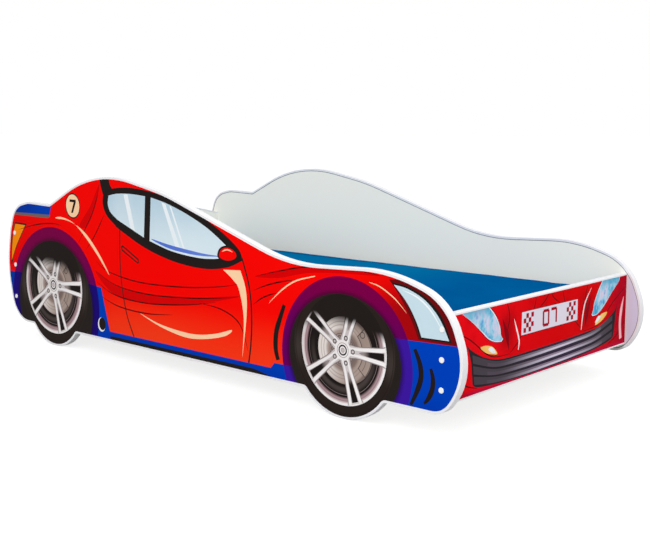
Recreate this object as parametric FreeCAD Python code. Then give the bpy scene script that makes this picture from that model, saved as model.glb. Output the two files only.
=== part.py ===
"""Children's bed shaped like a sports car: two car-shaped side panels, two end panels,
a slatted base between them and a loose foam mattress.

Millimetres. +X is the front of the car, +Y its left side, +Z up.
The origin is on the floor, under the centre of the bed.
"""
import math
import os

import FreeCAD
import Part

Vec = FreeCAD.Vector

# ---- driving dimensions -------------------------------------------------------------------

# mattress, which sets the space between the panels
mattress_length = 1600.0
mattress_width = 800.0
mattress_thickness = 80.0       # at the side seams
mattress_crown = 5.0
mattress_gap = 2.0              # to the panel on each side
mattress_lift_gap = 0.3         # between the slats and the mattress
mattress_corner = 38.0
mattress_draw = 3.0             # how far the sides pull in between the corners
mattress_edge_round = 16.0      # height over which the upper edge turns in
mattress_foot_round = 10.0      # the same at the lower edge
mattress_crown_reach = 320.0    # how far in the crown is at its full height
cover_thickness = 2.0

board = 18.0                    # melamine-faced chipboard of all four panels

# how far the side panels reach past the end panels
nose_overhang = 42.0
tail_overhang = 30.0

# end panels
front_panel_bottom = 82.8
front_panel_top = 270.2
rear_panel_bottom = 104.0       # where the side panels reach far enough behind it
rear_panel_side_top = 338.0     # height where the arched top meets the side panels
rear_panel_rise = 52.0          # how much higher the arch is in the middle

# wheels in the outline of the side panels, whose feet carry the bed
rear_wheel_radius = 138.8
rear_wheel_from_tail = 245.5
front_wheel_radius = 151.6
front_wheel_from_nose = 324.6
wheel_flat_depth = 0.5          # flat at the foot of each wheel, where the bed stands
sill_height = 53.2
tail_underside = 53.2
nose_underside = 60.4
sill_blend = 12.0               # radius between an underside and a wheel

# Corners of the car's outline: how far each lies in from the tail or the nose (less than 0
# where the rounding cuts it back), its height, and the radius of its rounding.
bumper_foot_from_tail = 36.0
bumper_foot_radius = 88.0
bumper_bulge_from_tail = -7.0
bumper_bulge_height = 217.0
bumper_bulge_radius = 287.0
tail_lamp_from_tail = 14.0
tail_lamp_height = 329.0
tail_lamp_radius = 151.0
boot_from_tail = 42.0
boot_height = 406.0
boot_radius = 77.0
spoiler_from_tail = 118.0
spoiler_height = 423.0
spoiler_radius = 96.0
rear_screen_from_tail = 235.0
rear_screen_height = 420.0
rear_screen_radius = 8.0
roof_from_tail = 468.0
roof_height = 533.0
roof_radius = 493.0
windscreen_from_tail = 765.0
windscreen_height = 479.0
windscreen_radius = 905.0
scuttle_from_nose = 493.0
scuttle_height = 336.0
scuttle_radius = 550.0
bonnet_from_nose = 193.0
bonnet_height = 350.0
bonnet_radius = 430.0
headlamp_from_nose = 38.0
headlamp_height = 300.0
headlamp_radius = 138.0
nose_tip_from_nose = -18.0
nose_tip_height = 145.0
nose_tip_radius = 140.0
chin_from_nose = 47.0
chin_radius = 57.0

# soft white edging pushed over the cut edges
edging_base = 1.2
edging_lip = 1.0
side_edging_grip = 4.8          # how far a lip reaches over a side panel's face
end_edging_grip = 2.6           # the same on the end panels
edging_round = 0.7

# corner screws and the caps over their heads
screw_hole_radius = 3.5
screw_head_radius = 5.0
screw_head_depth = 4.0
screw_length = 50.0
socket_radius = 2.4
socket_depth = 3.0
cap_radius = 6.4
cap_thickness = 1.8
cap_round = 1.0
front_screw_middle = 177.4
front_screw_spacing = 64.0
rear_screw_middle = 224.7
rear_screw_spacing = 99.0
screws_per_corner = 3

# slatted base
rail_thickness = 20.0
rail_height = 24.0
rail_top = 131.0
rail_end_gap = 2.0
slat_count = 12
slat_width = 70.0
slat_thickness = 10.0
slat_end_gap = 4.0              # between a slat's end and the side panel
slat_first_gap = 12.0           # between an end panel and the first slat
slat_edge_round = 2.0
tape_width = 25.0
tape_thickness = 0.8
tape_from_side = 150.0
tape_overhang = 12.0
staple_width = 10.0
staple_wire = 0.9
staple_leg = 6.0
slat_screw_from_side = 11.0

# wood screws through the rails and the end slats
rail_screw_radius = 2.0
rail_screw_head_radius = 4.0
rail_screw_head_depth = 2.4
rail_screw_length = 32.0
side_rail_screws = 5
end_rail_screws = 3
rail_screw_margin = 60.0
slat_screw_length = 28.0

# ---- places worked out from the dimensions ------------------------------------------------

inner_length = mattress_length + 2 * mattress_gap
inner_width = mattress_width + 2 * mattress_gap
board_length = tail_overhang + board + inner_length + board + nose_overhang
tail_x = -board_length / 2
nose_x = board_length / 2
rear_outer_x = tail_x + tail_overhang
rear_inner_x = rear_outer_x + board
front_outer_x = nose_x - nose_overhang
front_inner_x = front_outer_x - board
side_inner_y = inner_width / 2
side_outer_y = side_inner_y + board
middle_x = (rear_inner_x + front_inner_x) / 2
slat_top = rail_top + slat_thickness

rear_wheel_x = tail_x + rear_wheel_from_tail
rear_wheel_z = edging_base + rear_wheel_radius - wheel_flat_depth
front_wheel_x = nose_x - front_wheel_from_nose
front_wheel_z = edging_base + front_wheel_radius - wheel_flat_depth

# The outline's corners in order, from the tail over the roof to the nose: (x, height, radius)
outline_corners = [
    (tail_x + bumper_foot_from_tail, tail_underside, bumper_foot_radius),
    (tail_x + bumper_bulge_from_tail, bumper_bulge_height, bumper_bulge_radius),
    (tail_x + tail_lamp_from_tail, tail_lamp_height, tail_lamp_radius),
    (tail_x + boot_from_tail, boot_height, boot_radius),
    (tail_x + spoiler_from_tail, spoiler_height, spoiler_radius),
    (tail_x + rear_screen_from_tail, rear_screen_height, rear_screen_radius),
    (tail_x + roof_from_tail, roof_height, roof_radius),
    (tail_x + windscreen_from_tail, windscreen_height, windscreen_radius),
    (nose_x - scuttle_from_nose, scuttle_height, scuttle_radius),
    (nose_x - bonnet_from_nose, bonnet_height, bonnet_radius),
    (nose_x - headlamp_from_nose, headlamp_height, headlamp_radius),
    (nose_x - nose_tip_from_nose, nose_tip_height, nose_tip_radius),
    (nose_x - chin_from_nose, nose_underside, chin_radius),
]

os.makedirs("parts", exist_ok=True)


# ---- helpers ------------------------------------------------------------------------------

def export(name, shape):
    shape.exportStep(f"parts/{name}.step")
    print(f"{name}: {len(shape.Solids)} solids, {shape.Volume / 1000:.1f} cm3")


def box(x0, x1, y0, y1, z0, z1):
    return Part.makeBox(x1 - x0, y1 - y0, z1 - z0, Vec(x0, y0, z0))


def rod(radius, length, start, direction):
    return Part.makeCylinder(radius, length, start, direction)


def mirrored(shape):
    """The same piece on the left side of the bed."""
    return shape.mirror(Vec(0, 0, 0), Vec(0, 1, 0))


def spread(first, last, count):
    return [first + (last - first) * i / (count - 1) for i in range(count)]


def reach_of(before, corner, after, radius):
    """How far back from its corner an arc of this radius starts."""
    half = (before - corner).getAngle(after - corner) / 2
    return radius / math.tan(half)


def fitting_radii(path, radii):
    """The radii, made smaller where two arcs would meet along the line between them."""
    reaches = [0] + [reach_of(path[i - 1], path[i], path[i + 1], radius)
                     for i, radius in enumerate(radii, start=1)] + [0]
    shares = [min(1, (path[i + 1] - path[i]).Length / max(reaches[i] + reaches[i + 1], 1))
              for i in range(len(path) - 1)]
    return [radius * min(shares[i], shares[i + 1]) for i, radius in enumerate(radii)]


def turn_sign(before, corner, after):
    """1 where the outline turns round the panel, -1 where it turns into it."""
    across = (corner - before).cross(after - corner)
    return math.copysign(1, across.y)


def rounded_corner(before, corner, after, radius, grow):
    """Start, middle and end of the arc that rounds a corner, on an outline grown by grow."""
    to_before = (before - corner).normalize()
    to_after = (after - corner).normalize()
    half = to_before.getAngle(to_after) / 2
    reach = radius / math.tan(half)
    bisector = (to_before + to_after).normalize()
    centre = corner + bisector * (radius / math.sin(half))
    scale = 1 + turn_sign(before, corner, after) * grow / radius
    ends = [corner + to_before * reach, centre - bisector * radius, corner + to_after * reach]
    return [centre + (point - centre) * scale for point in ends]


def wheel_edges(x, z, radius, height_before, height_after, grow):
    """Outline round the foot of a wheel, from the front of the car to its rear:
    a blend out of the underside, the tyre, and a blend into the next underside."""
    hub = Vec(x, 0, z)

    def blend_arc(side, height):
        rise = z - (height - sill_blend)
        run = math.sqrt((radius + sill_blend) ** 2 - rise ** 2)
        centre = Vec(x + side * run, 0, height - sill_blend)
        on_underside = centre + Vec(0, 0, sill_blend - grow)
        on_wheel = hub + (centre - hub) * ((radius + grow) / (radius + sill_blend))
        towards = ((on_underside + on_wheel) * 0.5 - centre).normalize()
        return on_underside, centre + towards * (sill_blend - grow), on_wheel

    a_start, a_middle, a_end = blend_arc(1, height_before)
    b_start, b_middle, b_end = blend_arc(-1, height_after)
    edges = [
        Part.Arc(a_start, a_middle, a_end).toShape(),
        Part.Arc(a_end, Vec(x, 0, z - radius - grow), b_end).toShape(),
        Part.Arc(b_end, b_middle, b_start).toShape(),
    ]
    return a_start, edges, b_start


def side_outline(grow):
    """Cut edge of a side panel, grown outwards by grow, as a closed wire at y = 0."""
    corners = [Vec(x, 0, z) for x, z, _ in outline_corners]
    radii = [radius for _, _, radius in outline_corners]
    front_start, front_edges, front_end = wheel_edges(
        front_wheel_x, front_wheel_z, front_wheel_radius, nose_underside, sill_height, grow)
    rear_start, rear_edges, rear_end = wheel_edges(
        rear_wheel_x, rear_wheel_z, rear_wheel_radius, sill_height, tail_underside, grow)
    path = ([Vec(rear_wheel_x, 0, tail_underside)] + corners
            + [Vec(front_wheel_x, 0, nose_underside)])
    edges = []
    here = rear_end
    for i, radius in enumerate(fitting_radii(path, radii), start=1):
        start, middle, end = rounded_corner(path[i - 1], path[i], path[i + 1], radius, grow)
        if (start - here).Length > 1e-4:
            edges.append(Part.LineSegment(here, start).toShape())
        edges.append(Part.Arc(start, middle, end).toShape())
        here = end
    edges.append(Part.LineSegment(here, front_start).toShape())
    edges += front_edges
    edges.append(Part.LineSegment(front_end, rear_start).toShape())
    edges += rear_edges
    return Part.Wire(edges)


def outline_slab(grow, y0, y1):
    """The car's outline, grown by grow, as a slab between two values of y."""
    face = Part.Face(side_outline(grow))
    return face.translated(Vec(0, y0, 0)).extrude(Vec(0, y1 - y0, 0))


# ---- places of the screws -----------------------------------------------------------------

def corner_screw_places():
    """Name of each corner of the right side, with the (x, z) of its screws."""
    half = (screws_per_corner - 1) / 2
    front_x = (front_inner_x + front_outer_x) / 2
    rear_x = (rear_inner_x + rear_outer_x) / 2
    steps = [i - half for i in range(screws_per_corner)]
    return {
        "front": [(front_x, front_screw_middle + i * front_screw_spacing) for i in steps],
        "rear": [(rear_x, rear_screw_middle + i * rear_screw_spacing) for i in steps],
    }


corner_places = corner_screw_places()


def corner_screw(x, z):
    """Furniture screw, driven through the right side panel along +Y."""
    y = -side_outer_y
    shank = rod(screw_hole_radius, screw_length, Vec(x, y, z), Vec(0, 1, 0))
    head = Part.makeCone(screw_head_radius, screw_hole_radius, screw_head_depth,
                         Vec(x, y, z), Vec(0, 1, 0))
    socket = rod(socket_radius, socket_depth, Vec(x, y, z), Vec(0, 1, 0))
    return shank.fuse(head).cut(socket)


def screw_cap(x, z):
    """Plastic cap: a domed disc on the panel's face and a stem in the screw's socket."""
    y = -side_outer_y
    disc = rod(cap_radius, cap_thickness, Vec(x, y, z), Vec(0, -1, 0))
    rim = [e for e in disc.Edges if abs(e.BoundBox.YMin - (y - cap_thickness)) < 1e-6
           and e.BoundBox.YLength < 1e-6 and e.Length > cap_radius]
    stem = rod(socket_radius, socket_depth, Vec(x, y, z), Vec(0, 1, 0))
    return disc.makeFillet(cap_round, rim).fuse(stem)


def corner_cutter(x, z):
    """Room for one corner screw in the side panel and in the end panel's edge."""
    return corner_screw(x, z).fuse(
        rod(socket_radius, socket_depth, Vec(x, -side_outer_y, z), Vec(0, 1, 0)))


def wood_screw(head, direction, length):
    """Countersunk wood screw whose flat head lies at the point head."""
    cone = Part.makeCone(rail_screw_head_radius, rail_screw_radius, rail_screw_head_depth,
                         head, direction)
    return rod(rail_screw_radius, length, head, direction).fuse(cone)


rail_screw_z = rail_top - rail_height / 2


def side_rail_screw_solids():
    xs = spread(rear_inner_x + rail_screw_margin, front_inner_x - rail_screw_margin,
                side_rail_screws)
    y = -side_inner_y + rail_thickness
    return [wood_screw(Vec(x, y, rail_screw_z), Vec(0, -1, 0), rail_screw_length) for x in xs]


def end_rail_screw_solids(face_x, direction):
    reach = side_inner_y - rail_thickness - rail_screw_margin
    ys = spread(-reach, reach, end_rail_screws)
    return [wood_screw(Vec(face_x, y, rail_screw_z), Vec(direction, 0, 0), rail_screw_length)
            for y in ys]


slat_xs = spread(rear_inner_x + slat_first_gap + slat_width / 2,
                 front_inner_x - slat_first_gap - slat_width / 2, slat_count)


def slat_screw_solids():
    y = side_inner_y - slat_screw_from_side
    return [wood_screw(Vec(x, side * y, slat_top), Vec(0, 0, -1), slat_screw_length)
            for x in (slat_xs[0], slat_xs[-1]) for side in (-1, 1)]


right_rail_screws = side_rail_screw_solids()
rear_rail_screws = end_rail_screw_solids(rear_inner_x + rail_thickness, -1)
front_rail_screws = end_rail_screw_solids(front_inner_x - rail_thickness, 1)
slat_screws = slat_screw_solids()
right_corner_cutters = [corner_cutter(x, z) for places in corner_places.values()
                        for x, z in places]
left_corner_cutters = [mirrored(cutter) for cutter in right_corner_cutters]


# ---- panels -------------------------------------------------------------------------------

def side_panel():
    """Right side panel: the car's outline, bored for the corner and rail screws."""
    panel = outline_slab(0, -side_outer_y, -side_inner_y)
    return panel.cut(right_corner_cutters + right_rail_screws)


def front_panel():
    panel = box(front_inner_x, front_outer_x, -side_inner_y, side_inner_y,
                front_panel_bottom, front_panel_top)
    return panel.cut(right_corner_cutters + left_corner_cutters + front_rail_screws)


def rear_arch(extra, bottom):
    """Outline of the rear panel above bottom, with its arched top raised by extra."""
    low = Vec(0, -side_inner_y, bottom)
    side_top = rear_panel_side_top + extra
    near = Vec(0, -side_inner_y, side_top)
    far = Vec(0, side_inner_y, side_top)
    crest = Vec(0, 0, side_top + rear_panel_rise)
    return Part.Face(Part.Wire([
        Part.LineSegment(low, near).toShape(),
        Part.Arc(near, crest, far).toShape(),
        Part.LineSegment(far, Vec(0, side_inner_y, bottom)).toShape(),
        Part.LineSegment(Vec(0, side_inner_y, bottom), low).toShape(),
    ]))


def rear_slab(x0, x1, extra, bottom):
    return rear_arch(extra, bottom).translated(Vec(x0, 0, 0)).extrude(Vec(x1 - x0, 0, 0))


def rear_panel():
    panel = rear_slab(rear_outer_x, rear_inner_x, 0, rear_panel_bottom)
    return panel.cut(right_corner_cutters + left_corner_cutters + rear_rail_screws)


# ---- edging -------------------------------------------------------------------------------

def side_edging():
    """Whole edging of the right side panel, before it is cut into lengths."""
    y0 = -side_outer_y - edging_lip
    y1 = -side_inner_y + edging_lip
    outside = outline_slab(edging_base, y0, y1)
    long_edges = [e for e in outside.Edges if e.BoundBox.YLength < 1e-3]
    rounded = outside.makeFillet(edging_round, long_edges)
    channel = outline_slab(0, -side_outer_y, -side_inner_y)
    window = outline_slab(-side_edging_grip, y0 - 1, y1 + 1)
    below_floor = box(tail_x, nose_x, y0 - 1, y1 + 1, -2 * edging_base, 0)
    return rounded.cut([channel, window, below_floor])


def wheel_reach(radius, z):
    """Half the length of floor that a wheel and its blends take, seen from the side."""
    lowest = max(nose_underside, sill_height, tail_underside)
    return math.sqrt((radius + sill_blend) ** 2 - (z - lowest + sill_blend) ** 2)


def side_edging_lengths():
    """The edging, cut at the blends beside the wheels."""
    whole = side_edging()
    y0 = -side_outer_y - 2 * edging_lip
    y1 = -side_inner_y + 2 * edging_lip
    top = max(nose_underside, sill_height, tail_underside) + 2 * side_edging_grip
    rear_reach = wheel_reach(rear_wheel_radius, rear_wheel_z)
    front_reach = wheel_reach(front_wheel_radius, front_wheel_z)
    rear_zone = box(rear_wheel_x - rear_reach, rear_wheel_x + rear_reach, y0, y1, -1, top)
    front_zone = box(front_wheel_x - front_reach, front_wheel_x + front_reach, y0, y1, -1, top)
    sill_zone = box(rear_wheel_x + rear_reach, front_wheel_x - front_reach, y0, y1, -1, top)
    return {
        "rear_wheel_edging": whole.common(rear_zone),
        "front_wheel_edging": whole.common(front_zone),
        "sill_edging": whole.common(sill_zone),
        "body_edging": whole.cut([rear_zone, front_zone, sill_zone]),
    }


def straight_edging(x0, x1, edge_z, up):
    """U-shaped edging along a straight edge of an end panel; up is 1 on a top edge."""
    reach = side_inner_y - edging_lip
    z0, z1 = sorted((edge_z - up * end_edging_grip, edge_z + up * edging_base))
    outside = box(x0 - edging_lip, x1 + edging_lip, -reach, reach, z0, z1)
    outer_z = edge_z + up * edging_base
    corners = [e for e in outside.Edges if e.BoundBox.YLength > reach
               and abs(e.CenterOfMass.z - outer_z) < 1e-6]
    groove_z0, groove_z1 = sorted((edge_z - up * 2 * end_edging_grip, edge_z))
    groove = box(x0, x1, -side_inner_y, side_inner_y, groove_z0, groove_z1)
    return outside.makeFillet(edging_round, corners).cut(groove)


def rear_top_edging():
    """Edging over the arched top of the rear panel."""
    reach = side_inner_y - edging_lip
    low = rear_panel_side_top - 2 * rear_panel_rise
    outside = rear_slab(rear_outer_x - edging_lip, rear_inner_x + edging_lip, edging_base, low)
    crest = [e for e in outside.Edges if e.BoundBox.YLength > reach
             and e.CenterOfMass.z > rear_panel_side_top]
    rounded = outside.makeFillet(edging_round, crest)
    groove = rear_slab(rear_outer_x, rear_inner_x, 0, low - 1)
    window = rear_slab(rear_outer_x - 2 * edging_lip, rear_inner_x + 2 * edging_lip,
                       -end_edging_grip, low - 1)
    span = box(tail_x, middle_x, -reach, reach, low, rear_panel_side_top + 2 * rear_panel_rise)
    return rounded.cut([groove, window]).common(span)


# ---- slatted base -------------------------------------------------------------------------

def side_rail():
    rail = box(rear_inner_x + rail_end_gap, front_inner_x - rail_end_gap,
               -side_inner_y, -side_inner_y + rail_thickness, rail_top - rail_height, rail_top)
    return rail.cut(right_rail_screws + slat_screws)


def end_rail(face_x, direction, screws):
    reach = side_inner_y - rail_thickness - rail_end_gap
    x0, x1 = sorted((face_x, face_x + direction * rail_thickness))
    rail = box(x0, x1, -reach, reach, rail_top - rail_height, rail_top)
    return rail.cut(screws)


def slat(x):
    reach = side_inner_y - slat_end_gap
    plank = box(x - slat_width / 2, x + slat_width / 2, -reach, reach, rail_top, slat_top)
    long_edges = [e for e in plank.Edges if e.BoundBox.YLength > reach]
    return plank.makeFillet(slat_edge_round, long_edges).cut(slat_screws + staple_solids)


def tape_y():
    return side_inner_y - tape_from_side


def slat_tape():
    """Webbing under the slats on the right side, which keeps them evenly spaced."""
    y = -tape_y()
    return box(slat_xs[0] - tape_overhang, slat_xs[-1] + tape_overhang,
               y - tape_width / 2, y + tape_width / 2,
               rail_top - tape_thickness, rail_top).cut(staple_solids)


def staple(x, y):
    """Wire staple, driven up through the tape into a slat."""
    z0 = rail_top - tape_thickness - staple_wire
    crown = box(x - staple_wire / 2, x + staple_wire / 2, y - staple_width / 2,
                y + staple_width / 2, z0, z0 + staple_wire)
    legs = [box(x - staple_wire / 2, x + staple_wire / 2, leg_y - staple_wire / 2,
                leg_y + staple_wire / 2, z0, z0 + staple_wire + staple_leg)
            for leg_y in (y - (staple_width - staple_wire) / 2,
                          y + (staple_width - staple_wire) / 2)]
    return crown.fuse(legs).removeSplitter()


staple_solids = [staple(x, side * tape_y()) for x in slat_xs for side in (-1, 1)]


# ---- mattress -----------------------------------------------------------------------------

def mattress_section(z, inset):
    """Closed wire round the mattress: sides bowed inwards between rounded corners."""
    half_length = mattress_length / 2 - inset
    half_width = mattress_width / 2 - inset
    radius = max(mattress_corner - inset / 4, mattress_corner / 2)
    edges = []
    quarter = [(half_length, half_width, 0), (-half_length, half_width, 90),
               (-half_length, -half_width, 180), (half_length, -half_width, 270)]
    arcs = []
    for x, y, turn in quarter:
        centre = Vec(x - math.copysign(radius, x), y - math.copysign(radius, y), z)
        points = [centre + Vec(radius * math.cos(math.radians(turn + a)),
                               radius * math.sin(math.radians(turn + a)), 0)
                  for a in (0, 45, 90)]
        arcs.append(points)
    for i, points in enumerate(arcs):
        following = arcs[(i + 1) % 4]
        edges.append(Part.Arc(*points).toShape())
        middle = (points[2] + following[0]) * 0.5
        pull = Vec(0, -math.copysign(mattress_draw, middle.y), 0)
        if abs(middle.x) > abs(middle.y):
            pull = Vec(-math.copysign(mattress_draw, middle.x), 0, 0)
        edges.append(Part.Arc(points[2], middle + pull, following[0]).toShape())
    wire = Part.Wire(edges)
    return wire.translated(Vec(middle_x, 0, 0))


def mattress_form(shell):
    """Crowned block; shell is how far its skin lies inside the cover's outer skin."""
    bottom = slat_top + mattress_lift_gap + shell
    seam = slat_top + mattress_lift_gap + mattress_thickness - shell
    foot = mattress_foot_round
    edge = mattress_edge_round
    crown = mattress_crown
    reach = mattress_crown_reach
    # height and inset of each section, from the underside over the rounded edges to the crown
    profile = [
        (bottom, 0.9 * foot), (bottom + 0.3 * foot, 0.3 * foot), (bottom + foot, 0),
        (seam - edge, 0), (seam - 0.4 * edge, 0.12 * edge),
        (seam - 0.1 * edge, 0.45 * edge), (seam, 0.9 * edge),
        (seam + 0.5 * crown, 0.28 * reach), (seam + 0.85 * crown, 0.6 * reach),
        (seam + crown, reach),
    ]
    return Part.makeLoft([mattress_section(z, inset + shell) for z, inset in profile], True, True)


def mattress_core():
    return mattress_form(cover_thickness)


def mattress_cover():
    return mattress_form(0).cut(mattress_core())


# ---- build --------------------------------------------------------------------------------

def build():
    right_side = side_panel()
    export("right_side_panel", right_side)
    export("left_side_panel", mirrored(right_side))
    export("front_panel", front_panel())
    export("rear_panel", rear_panel())

    for name, piece in side_edging_lengths().items():
        export(f"right_{name}", piece)
        export(f"left_{name}", mirrored(piece))
    export("front_panel_top_edging",
           straight_edging(front_inner_x, front_outer_x, front_panel_top, 1))
    export("front_panel_bottom_edging",
           straight_edging(front_inner_x, front_outer_x, front_panel_bottom, -1))
    export("rear_panel_top_edging", rear_top_edging())
    export("rear_panel_bottom_edging",
           straight_edging(rear_outer_x, rear_inner_x, rear_panel_bottom, -1))

    for end, places in corner_places.items():
        screws = Part.makeCompound([corner_screw(x, z) for x, z in places])
        caps = Part.makeCompound([screw_cap(x, z) for x, z in places])
        export(f"{end}_right_corner_screws", screws)
        export(f"{end}_left_corner_screws", mirrored(screws))
        export(f"{end}_right_screw_caps", caps)
        export(f"{end}_left_screw_caps", mirrored(caps))

    export("right_side_rail", side_rail())
    export("left_side_rail", mirrored(side_rail()))
    export("rear_end_rail", end_rail(rear_inner_x, 1, rear_rail_screws))
    export("front_end_rail", end_rail(front_inner_x, -1, front_rail_screws))
    export("right_side_rail_screws", Part.makeCompound(right_rail_screws))
    export("left_side_rail_screws", mirrored(Part.makeCompound(right_rail_screws)))
    export("rear_end_rail_screws", Part.makeCompound(rear_rail_screws))
    export("front_end_rail_screws", Part.makeCompound(front_rail_screws))

    for number, x in enumerate(slat_xs, start=1):
        export(f"slat_{number:02d}", slat(x))
    export("right_slat_tape", slat_tape())
    export("left_slat_tape", mirrored(slat_tape()))
    export("tape_staples", Part.makeCompound(staple_solids))
    export("end_slat_screws", Part.makeCompound(slat_screws))

    export("mattress_core", mattress_core())
    export("mattress_cover", mattress_cover())


build()
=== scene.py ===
import math

import bmesh
import bpy
import numpy as np
from mathutils import Matrix, Vector
from mathutils.geometry import delaunay_2d_cdt


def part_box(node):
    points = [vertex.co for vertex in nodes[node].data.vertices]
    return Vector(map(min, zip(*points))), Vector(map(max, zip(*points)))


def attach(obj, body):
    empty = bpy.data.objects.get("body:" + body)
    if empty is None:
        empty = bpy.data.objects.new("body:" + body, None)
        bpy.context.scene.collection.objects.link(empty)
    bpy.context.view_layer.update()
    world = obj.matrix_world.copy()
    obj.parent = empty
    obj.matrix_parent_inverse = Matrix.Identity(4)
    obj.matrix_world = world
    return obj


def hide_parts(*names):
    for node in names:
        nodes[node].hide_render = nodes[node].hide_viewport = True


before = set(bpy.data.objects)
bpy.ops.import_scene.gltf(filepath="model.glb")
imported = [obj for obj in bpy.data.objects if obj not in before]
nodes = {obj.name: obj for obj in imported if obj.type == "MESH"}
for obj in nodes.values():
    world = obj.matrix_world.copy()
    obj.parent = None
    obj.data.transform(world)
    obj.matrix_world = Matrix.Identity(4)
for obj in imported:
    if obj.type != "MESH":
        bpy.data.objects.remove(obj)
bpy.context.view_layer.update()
mm = 0.001


view = {
    "place": (2.0002, -2.0903, 0.6543),
    "yaw": 40.866,          # from +Y towards -X, degrees
    "pitch": 6.361,         # downwards
    "roll": 0.326,
    "lens": 56.03,
    "shift": (-0.0397, -0.0552),
    "farthest": 200,
}


def addCamera():
    yaw, pitch, roll = (math.radians(view[key]) for key in ("yaw", "pitch", "roll"))
    level = math.cos(pitch)
    ahead = Vector((-math.sin(yaw) * level, math.cos(yaw) * level, -math.sin(pitch)))
    right = Vector((math.cos(yaw), math.sin(yaw), 0))
    up = right.cross(ahead)
    tilted = right * math.cos(roll) + up * math.sin(roll)
    upright = up * math.cos(roll) - right * math.sin(roll)
    data = bpy.data.cameras.new("camera")
    data.lens = view["lens"]
    data.shift_x, data.shift_y = view["shift"]
    data.clip_end = view["farthest"]
    camera = bpy.data.objects.new("camera", data)
    turn = Matrix((tilted, upright, -ahead)).transposed().to_4x4()
    camera.matrix_world = Matrix.Translation(Vector(view["place"])) @ turn
    bpy.context.scene.collection.objects.link(camera)
    bpy.context.scene.camera = camera


addCamera()
bpy.context.scene.view_settings.view_transform = "Standard"


def tint(red, green, blue):
    # a screen colour, 0 to 255, as the linear colour that a shader takes
    def linear(value):
        share = value / 255
        return share / 12.92 if share <= 0.04045 else ((share + 0.055) / 1.055) ** 2.4
    return (linear(red), linear(green), linear(blue), 1.0)


class Signal:
    # a value inside a material; sums and products of signals add the nodes they need
    def __init__(self, owner, socket):
        self.owner = owner
        self.socket = socket

    def maths(self, operation, first, second=0.0):
        return self.owner.node("ShaderNodeMath", {"operation": operation}, {0: first, 1: second})

    def __add__(self, other):
        return self.maths("ADD", self, other)

    def __radd__(self, other):
        return self.maths("ADD", other, self)

    def __sub__(self, other):
        return self.maths("SUBTRACT", self, other)

    def __rsub__(self, other):
        return self.maths("SUBTRACT", other, self)

    def __mul__(self, other):
        return self.maths("MULTIPLY", self, other)

    def __rmul__(self, other):
        return self.maths("MULTIPLY", other, self)

    def __truediv__(self, other):
        return self.maths("DIVIDE", self, other)

    def __rtruediv__(self, other):
        return self.maths("DIVIDE", other, self)

    def __pow__(self, other):
        return self.maths("POWER", self, other)

    def __rpow__(self, other):
        return self.maths("POWER", other, self)

    def __gt__(self, other):
        return self.maths("GREATER_THAN", self, other)

    def __lt__(self, other):
        return self.maths("LESS_THAN", self, other)

    def __abs__(self):
        return self.maths("ABSOLUTE", self)


class NodeTree:
    # adds nodes to the node tree of a material or of the world
    def __init__(self, tree):
        self.tree = tree

    def join(self, signal, socket):
        self.tree.links.new(signal.socket, socket)

    def node(self, kind, settings=None, values=None, output=0):
        made = self.tree.nodes.new(kind)
        for key, value in (settings or {}).items():
            setattr(made, key, value)
        for key, value in (values or {}).items():
            if isinstance(value, Signal):
                self.join(value, made.inputs[key])
            else:
                made.inputs[key].default_value = value
        return Signal(self, made.outputs[output])


class Paint(NodeTree):
    # one material with a Principled shader; spot, x, y and z are places on the object in metres
    def __init__(self, name, **constants):
        self.material = bpy.data.materials.new(name)
        self.material.use_nodes = True
        super().__init__(self.material.node_tree)
        self.shader = self.tree.nodes["Principled BSDF"]
        for key, value in constants.items():
            self.shader.inputs[key.replace("_", " ")].default_value = value
        self.spot = self.node("ShaderNodeTexCoord", output="Object")
        self.x, self.y, self.z = (
            self.node("ShaderNodeSeparateXYZ", None, {0: self.spot}, axis) for axis in range(3))

    def scaled(self, factors, vector=None):
        return self.node("ShaderNodeVectorMath", {"operation": "MULTIPLY"},
                         {0: vector or self.spot, 1: factors})

    def mix(self, first, second, share):
        # a colour of three numbers is a screen colour
        first, second = (tint(*colour) if isinstance(colour, tuple) and len(colour) == 3 else colour
                         for colour in (first, second))
        return self.node("ShaderNodeMix", {"data_type": "RGBA"}, {0: share, 6: first, 7: second}, 2)

    def noise(self, scale, detail=2.0, roughness=0.5, vector=None):
        return self.node("ShaderNodeTexNoise", None, {
            "Vector": vector or self.spot, "Scale": scale, "Detail": detail, "Roughness": roughness})

    def waves(self, direction, values, vector=None):
        return self.node("ShaderNodeTexWave", {"bands_direction": direction},
                         {"Vector": vector or self.spot, **values}, 1)

    def between(self, value, low, high):
        # 0 at low, 1 at high, and smooth from one to the other
        return self.node("ShaderNodeMapRange", {"interpolation_type": "SMOOTHSTEP"},
                         {"Value": value, "From Min": low, "From Max": high})

    def colour(self, signal):
        self.join(signal, self.shader.inputs["Base Color"])

    def roughness(self, signal):
        self.join(signal, self.shader.inputs["Roughness"])

    def bump(self, height, distance, strength):
        made = self.node("ShaderNodeBump", None,
                         {"Height": height, "Distance": distance, "Strength": strength})
        self.join(made, self.shader.inputs["Normal"])


def melamineWhite():
    paint = Paint("melamineWhite", Roughness=0.38, Specular_IOR_Level=0.3)
    white = paint.mix((250, 249, 238), (252, 251, 241), paint.noise(3.0, 3.0))
    # painted reflected light and shade: the white inner faces turn lilac towards the nose
    paintedBounceAtNose = paint.between(paint.x, 0.80, 0.83)
    paint.colour(paint.mix(white, (216, 214, 238), paintedBounceAtNose))
    paint.bump(paint.noise(900.0), 0.00004, 0.5)
    return paint.material


def edgingVinyl():
    paint = Paint("edgingVinyl", Roughness=0.42, Specular_IOR_Level=0.35)
    paint.colour(paint.mix((234, 234, 238), (241, 241, 244), paint.noise(14.0, 3.0)))
    paint.bump(paint.noise(420.0, 3.0), 0.00008, 0.6)
    return paint.material


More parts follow.
